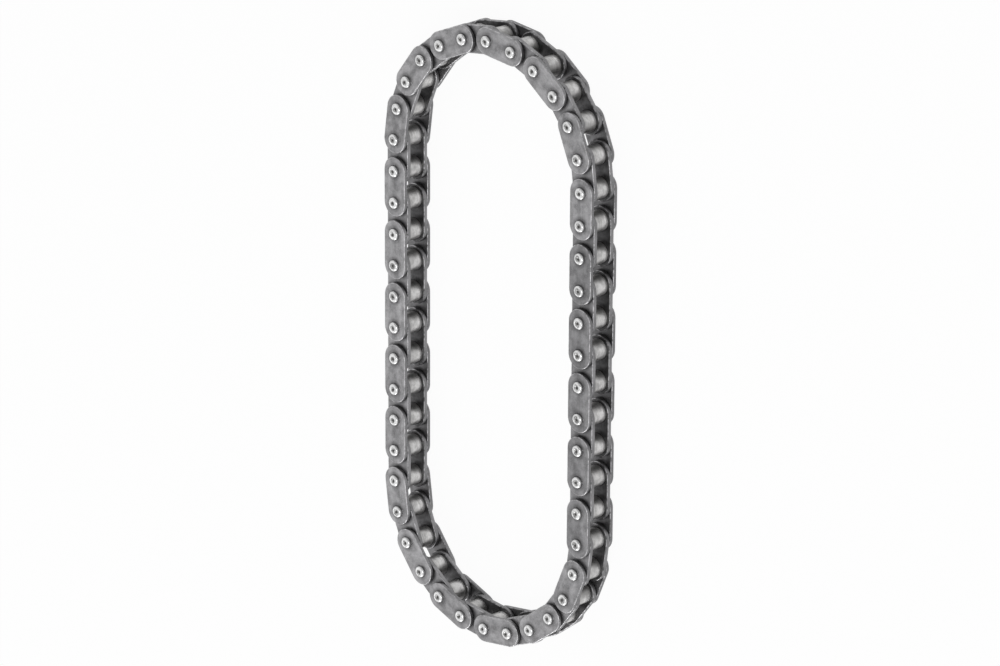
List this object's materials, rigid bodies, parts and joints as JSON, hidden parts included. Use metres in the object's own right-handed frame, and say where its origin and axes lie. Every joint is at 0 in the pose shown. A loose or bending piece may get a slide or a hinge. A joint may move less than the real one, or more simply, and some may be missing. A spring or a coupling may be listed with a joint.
{
  "type": "oil pump chain",
  "caption": "Endless simplex bush chain that drives an oil pump: riveted outer links alternate with bushed inner links and pivot on their pins.",
  "frame": {"origin": "centre of the loop, on the plane that the lower rivet heads rest on", "axes": "+Y along the loop's long axis, +X across it, +Z along the pins"},
  "size_m": [0.0682, 0.1562, 0.0105],
  "materials": {
    "outer_plate_steel": "satin, heat blackened",
    "inner_plate_steel": "satin, heat blackened",
    "pin_steel": "bright, riveted ends",
    "bush_steel": "ground"
  },
  "bodies": {
    "outer_link_01": {"outer_link_01": "outer_plate_steel"},
    "inner_link_01": {"inner_link_01": "inner_plate_steel"},
    "outer_link_02": {"outer_link_02": "outer_plate_steel"},
    "inner_link_02": {"inner_link_02": "inner_plate_steel"},
    "outer_link_03": {"outer_link_03": "outer_plate_steel"},
    "inner_link_03": {"inner_link_03": "inner_plate_steel"},
    "outer_link_04": {"outer_link_04": "outer_plate_steel"},
    "inner_link_04": {"inner_link_04": "inner_plate_steel"},
    "outer_link_05": {"outer_link_05": "outer_plate_steel"},
    "inner_link_05": {"inner_link_05": "inner_plate_steel"},
    "outer_link_06": {"outer_link_06": "outer_plate_steel"},
    "inner_link_06": {"inner_link_06": "inner_plate_steel"},
    "outer_link_07": {"outer_link_07": "outer_plate_steel"},
    "inner_link_07": {"inner_link_07": "inner_plate_steel"},
    "outer_link_08": {"outer_link_08": "outer_plate_steel"},
    "inner_link_08": {"inner_link_08": "inner_plate_steel"},
    "outer_link_09": {"outer_link_09": "outer_plate_steel"},
    "inner_link_09": {"inner_link_09": "inner_plate_steel"},
    "outer_link_10": {"outer_link_10": "outer_plate_steel"},
    "inner_link_10": {"inner_link_10": "inner_plate_steel"},
    "outer_link_11": {"outer_link_11": "outer_plate_steel"},
    "inner_link_11": {"inner_link_11": "inner_plate_steel"},
    "outer_link_12": {"outer_link_12": "outer_plate_steel"},
    "inner_link_12": {"inner_link_12": "inner_plate_steel"},
    "outer_link_13": {"outer_link_13": "outer_plate_steel"},
    "inner_link_13": {"inner_link_13": "inner_plate_steel"},
    "outer_link_14": {"outer_link_14": "outer_plate_steel"},
    "inner_link_14": {"inner_link_14": "inner_plate_steel"},
    "outer_link_15": {"outer_link_15": "outer_plate_steel"},
    "inner_link_15": {"inner_link_15": "inner_plate_steel"},
    "outer_link_16": {"outer_link_16": "outer_plate_steel"},
    "inner_link_16": {"inner_link_16": "inner_plate_steel"},
    "outer_link_17": {"outer_link_17": "outer_plate_steel"},
    "inner_link_17": {"inner_link_17": "inner_plate_steel"},
    "outer_link_18": {"outer_link_18": "outer_plate_steel"},
    "inner_link_18": {"inner_link_18": "inner_plate_steel"},
    "outer_link_19": {"outer_link_19": "outer_plate_steel"},
    "inner_link_19": {"inner_link_19": "inner_plate_steel"},
    "outer_link_20": {"outer_link_20": "outer_plate_steel"},
    "inner_link_20": {"inner_link_20": "inner_plate_steel"},
    "outer_link_21": {"outer_link_21": "outer_plate_steel"},
    "inner_link_21": {"inner_link_21": "inner_plate_steel"},
    "outer_link_22": {"outer_link_22": "outer_plate_steel"},
    "inner_link_22": {"inner_link_22": "inner_plate_steel"},
    "outer_link_23": {"outer_link_23": "outer_plate_steel"},
    "inner_link_23": {"inner_link_23": "inner_plate_steel"}
  },
  "joints": [
    {"name": "squeeze_pivot", "type": "hinge", "parent": "outer_link_01", "child": "inner_link_01", "pos_m": [-0.03065, 0.004, 0.00526], "axis": [0, 0, -1], "range_deg": [-6, 10]},
    {"name": "pivot_03", "type": "hinge", "parent": "inner_link_01", "child": "outer_link_02", "pos_m": [-0.03065, 0.012, 0.00526], "axis": [0, 0, -1], "range_deg": [-6, 10]},
    {"name": "pivot_04", "type": "hinge", "parent": "outer_link_02", "child": "inner_link_02", "pos_m": [-0.03065, 0.02, 0.00526], "axis": [0, 0, -1], "range_deg": [-9, 9]},
    {"name": "pivot_05", "type": "hinge", "parent": "inner_link_02", "child": "outer_link_03", "pos_m": [-0.03065, 0.028, 0.00526], "axis": [0, 0, -1], "range_deg": [-6, 10]},
    {"name": "run_pivot", "type": "hinge", "parent": "outer_link_03", "child": "inner_link_03", "pos_m": [-0.03065, 0.036, 0.00526], "axis": [0, 0, -1], "range_deg": [0, 7.5]},
    {"name": "pivot_07", "type": "hinge", "parent": "inner_link_03", "child": "outer_link_04", "pos_m": [-0.03065, 0.044, 0.00526], "axis": [0, 0, -1], "range_deg": [0, 7.5]},
    {"name": "pivot_08", "type": "hinge", "parent": "outer_link_04", "child": "inner_link_04", "pos_m": [-0.0296, 0.05193, 0.00526], "axis": [0, 0, -1], "range_deg": [-4.5, 4.5]},
    {"name": "pivot_09", "type": "hinge", "parent": "inner_link_04", "child": "outer_link_05", "pos_m": [-0.02654, 0.05932, 0.00526], "axis": [0, 0, -1], "range_deg": [-12, 7.2]},
    {"name": "pivot_10", "type": "hinge", "parent": "outer_link_05", "child": "inner_link_05", "pos_m": [-0.02167, 0.06567, 0.00526], "axis": [0, 0, -1], "range_deg": [-9, 9]},
    {"name": "pivot_11", "type": "hinge", "parent": "inner_link_05", "child": "outer_link_06", "pos_m": [-0.01532, 0.07054, 0.00526], "axis": [0, 0, -1], "range_deg": [-12, 7.2]},
    {"name": "pivot_12", "type": "hinge", "parent": "outer_link_06", "child": "inner_link_06", "pos_m": [-0.00793, 0.0736, 0.00526], "axis": [0, 0, -1], "range_deg": [-9, 9]},
    {"name": "pivot_13", "type": "hinge", "parent": "inner_link_06", "child": "outer_link_07", "pos_m": [0, 0.07465, 0.00526], "axis": [0, 0, -1], "range_deg": [-12, 7.2]},
    {"name": "pivot_14", "type": "hinge", "parent": "outer_link_07", "child": "inner_link_07", "pos_m": [0.00793, 0.0736, 0.00526], "axis": [0, 0, -1], "range_deg": [-9, 9]},
    {"name": "pivot_15", "type": "hinge", "parent": "inner_link_07", "child": "outer_link_08", "pos_m": [0.01532, 0.07054, 0.00526], "axis": [0, 0, -1], "range_deg": [-12, 7.2]},
    {"name": "pivot_16", "type": "hinge", "parent": "outer_link_08", "child": "inner_link_08", "pos_m": [0.02167, 0.06567, 0.00526], "axis": [0, 0, -1], "range_deg": [-9, 9]},
    {"name": "pivot_17", "type": "hinge", "parent": "inner_link_08", "child": "outer_link_09", "pos_m": [0.02654, 0.05932, 0.00526], "axis": [0, 0, -1], "range_deg": [-12, 7.2]},
    {"name": "pivot_18", "type": "hinge", "parent": "outer_link_09", "child": "inner_link_09", "pos_m": [0.0296, 0.05193, 0.00526], "axis": [0, 0, -1], "range_deg": [-7.5, 0]},
    {"name": "pivot_19", "type": "hinge", "parent": "inner_link_09", "child": "outer_link_10", "pos_m": [0.03065, 0.044, 0.00526], "axis": [0, 0, -1], "range_deg": [-7.5, 0]},
    {"name": "pivot_20", "type": "hinge", "parent": "outer_link_10", "child": "inner_link_10", "pos_m": [0.03065, 0.036, 0.00526], "axis": [0, 0, -1], "range_deg": [-4.5, 4.5]},
    {"name": "pivot_21", "type": "hinge", "parent": "inner_link_10", "child": "outer_link_11", "pos_m": [0.03065, 0.028, 0.00526], "axis": [0, 0, -1], "range_deg": [-6, 10]},
    {"name": "pivot_22", "type": "hinge", "parent": "outer_link_11", "child": "inner_link_11", "pos_m": [0.03065, 0.02, 0.00526], "axis": [0, 0, -1], "range_deg": [-9, 9]},
    {"name": "pivot_23", "type": "hinge", "parent": "inner_link_11", "child": "outer_link_12", "pos_m": [0.03065, 0.012, 0.00526], "axis": [0, 0, -1], "range_deg": [-6, 10]},
    {"name": "pivot_01", "type": "hinge", "parent": "outer_link_01", "child": "inner_link_23", "pos_m": [-0.03065, -0.004, 0.00526], "axis": [0, 0, 1], "range_deg": [-6, 10]},
    {"name": "pivot_46", "type": "hinge", "parent": "inner_link_23", "child": "outer_link_23", "pos_m": [-0.03065, -0.012, 0.00526], "axis": [0, 0, 1], "range_deg": [-6, 10]},
    {"name": "lean_pivot", "type": "hinge", "parent": "outer_link_23", "child": "inner_link_22", "pos_m": [-0.03065, -0.02, 0.00526], "axis": [0, 0, 1], "range_deg": [-9, 9]},
    {"name": "pivot_44", "type": "hinge", "parent": "inner_link_22", "child": "outer_link_22", "pos_m": [-0.03065, -0.028, 0.00526], "axis": [0, 0, 1], "range_deg": [-6, 10]},
    {"name": "pivot_43", "type": "hinge", "parent": "outer_link_22", "child": "inner_link_21", "pos_m": [-0.03065, -0.036, 0.00526], "axis": [0, 0, 1], "range_deg": [-4.5, 4.5]},
    {"name": "pivot_42", "type": "hinge", "parent": "inner_link_21", "child": "outer_link_21", "pos_m": [-0.03065, -0.044, 0.00526], "axis": [0, 0, 1], "range_deg": [-7.5, 0]},
    {"name": "pivot_41", "type": "hinge", "parent": "outer_link_21", "child": "inner_link_20", "pos_m": [-0.0296, -0.05193, 0.00526], "axis": [0, 0, 1], "range_deg": [-7.5, 0]},
    {"name": "pivot_40", "type": "hinge", "parent": "inner_link_20", "child": "outer_link_20", "pos_m": [-0.02654, -0.05932, 0.00526], "axis": [0, 0, 1], "range_deg": [-12, 7.2]},
    {"name": "pivot_39", "type": "hinge", "parent": "outer_link_20", "child": "inner_link_19", "pos_m": [-0.02167, -0.06567, 0.00526], "axis": [0, 0, 1], "range_deg": [-9, 9]},
    {"name": "pivot_38", "type": "hinge", "parent": "inner_link_19", "child": "outer_link_19", "pos_m": [-0.01532, -0.07054, 0.00526], "axis": [0, 0, 1], "range_deg": [-12, 7.2]},
    {"name": "pivot_37", "type": "hinge", "parent": "outer_link_19", "child": "inner_link_18", "pos_m": [-0.00793, -0.0736, 0.00526], "axis": [0, 0, 1], "range_deg": [-9, 9]},
    {"name": "pivot_36", "type": "hinge", "parent": "inner_link_18", "child": "outer_link_18", "pos_m": [0, -0.07465, 0.00526], "axis": [0, 0, 1], "range_deg": [-12, 7.2]},
    {"name": "pivot_35", "type": "hinge", "parent": "outer_link_18", "child": "inner_link_17", "pos_m": [0.00793, -0.0736, 0.00526], "axis": [0, 0, 1], "range_deg": [-9, 9]},
    {"name": "pivot_34", "type": "hinge", "parent": "inner_link_17", "child": "outer_link_17", "pos_m": [0.01532, -0.07054, 0.00526], "axis": [0, 0, 1], "range_deg": [-12, 7.2]},
    {"name": "pivot_33", "type": "hinge", "parent": "outer_link_17", "child": "inner_link_16", "pos_m": [0.02167, -0.06567, 0.00526], "axis": [0, 0, 1], "range_deg": [-9, 9]},
    {"name": "pivot_32", "type": "hinge", "parent": "inner_link_16", "child": "outer_link_16", "pos_m": [0.02654, -0.05932, 0.00526], "axis": [0, 0, 1], "range_deg": [-12, 7.2]},
    {"name": "pivot_31", "type": "hinge", "parent": "outer_link_16", "child": "inner_link_15", "pos_m": [0.0296, -0.05193, 0.00526], "axis": [0, 0, 1], "range_deg": [-4.5, 4.5]},
    {"name": "pivot_30", "type": "hinge", "parent": "inner_link_15", "child": "outer_link_15", "pos_m": [0.03065, -0.044, 0.00526], "axis": [0, 0, 1], "range_deg": [0, 7.5]},
    {"name": "pivot_29", "type": "hinge", "parent": "outer_link_15", "child": "inner_link_14", "pos_m": [0.03065, -0.036, 0.00526], "axis": [0, 0, 1], "range_deg": [0, 7.5]},
    {"name": "pivot_28", "type": "hinge", "parent": "inner_link_14", "child": "outer_link_14", "pos_m": [0.03065, -0.028, 0.00526], "axis": [0, 0, 1], "range_deg": [-6, 10]},
    {"name": "pivot_27", "type": "hinge", "parent": "outer_link_14", "child": "inner_link_13", "pos_m": [0.03065, -0.02, 0.00526], "axis": [0, 0, 1], "range_deg": [-9, 9]},
    {"name": "pivot_26", "type": "hinge", "parent": "inner_link_13", "child": "outer_link_13", "pos_m": [0.03065, -0.012, 0.00526], "axis": [0, 0, 1], "range_deg": [-6, 10]},
    {"name": "pivot_25", "type": "hinge", "parent": "outer_link_13", "child": "inner_link_12", "pos_m": [0.03065, -0.004, 0.00526], "axis": [0, 0, 1], "range_deg": [-6, 10]}
  ],
  "couplings": [
    {"joint": "pivot_03", "follows": "squeeze_pivot", "ratio": 1},
    {"joint": "pivot_04", "follows": "lean_pivot", "ratio": -1},
    {"joint": "pivot_05", "follows": "squeeze_pivot", "ratio": 1},
    {"joint": "pivot_07", "follows": "run_pivot", "ratio": 1},
    {"joint": "pivot_08", "follows": "lean_pivot", "ratio": -0.5},
    {"joint": "pivot_09", "follows": "squeeze_pivot", "ratio": -1.2},
    {"joint": "pivot_10", "follows": "lean_pivot", "ratio": -1},
    {"joint": "pivot_11", "follows": "squeeze_pivot", "ratio": -1.2},
    {"joint": "pivot_12", "follows": "lean_pivot", "ratio": -1},
    {"joint": "pivot_13", "follows": "squeeze_pivot", "ratio": -1.2},
    {"joint": "pivot_14", "follows": "lean_pivot", "ratio": 1},
    {"joint": "pivot_15", "follows": "squeeze_pivot", "ratio": -1.2},
    {"joint": "pivot_16", "follows": "lean_pivot", "ratio": 1},
    {"joint": "pivot_17", "follows": "squeeze_pivot", "ratio": -1.2},
    {"joint": "pivot_18", "follows": "run_pivot", "ratio": -1},
    {"joint": "pivot_19", "follows": "run_pivot", "ratio": -1},
    {"joint": "pivot_20", "follows": "lean_pivot", "ratio": 0.5},
    {"joint": "pivot_21", "follows": "squeeze_pivot", "ratio": 1},
    {"joint": "pivot_22", "follows": "lean_pivot", "ratio": 1},
    {"joint": "pivot_23", "follows": "squeeze_pivot", "ratio": 1},
    {"joint": "pivot_01", "follows": "squeeze_pivot", "ratio": 1},
    {"joint": "pivot_46", "follows": "squeeze_pivot", "ratio": 1},
    {"joint": "pivot_44", "follows": "squeeze_pivot", "ratio": 1},
    {"joint": "pivot_43", "follows": "lean_pivot", "ratio": 0.5},
    {"joint": "pivot_42", "follows": "run_pivot", "ratio": -1},
    {"joint": "pivot_41", "follows": "run_pivot", "ratio": -1},
    {"joint": "pivot_40", "follows": "squeeze_pivot", "ratio": -1.2},
    {"joint": "pivot_39", "follows": "lean_pivot", "ratio": 1},
    {"joint": "pivot_38", "follows": "squeeze_pivot", "ratio": -1.2},
    {"joint": "pivot_37", "follows": "lean_pivot", "ratio": 1},
    {"joint": "pivot_36", "follows": "squeeze_pivot", "ratio": -1.2},
    {"joint": "pivot_35", "follows": "lean_pivot", "ratio": -1},
    {"joint": "pivot_34", "follows": "squeeze_pivot", "ratio": -1.2},
    {"joint": "pivot_33", "follows": "lean_pivot", "ratio": -1},
    {"joint": "pivot_32", "follows": "squeeze_pivot", "ratio": -1.2},
    {"joint": "pivot_31", "follows": "lean_pivot", "ratio": -0.5},
    {"joint": "pivot_30", "follows": "run_pivot", "ratio": 1},
    {"joint": "pivot_29", "follows": "run_pivot", "ratio": 1},
    {"joint": "pivot_28", "follows": "squeeze_pivot", "ratio": 1},
    {"joint": "pivot_27", "follows": "lean_pivot", "ratio": -1},
    {"joint": "pivot_26", "follows": "squeeze_pivot", "ratio": 1},
    {"joint": "pivot_25", "follows": "squeeze_pivot", "ratio": 1}
  ]
}
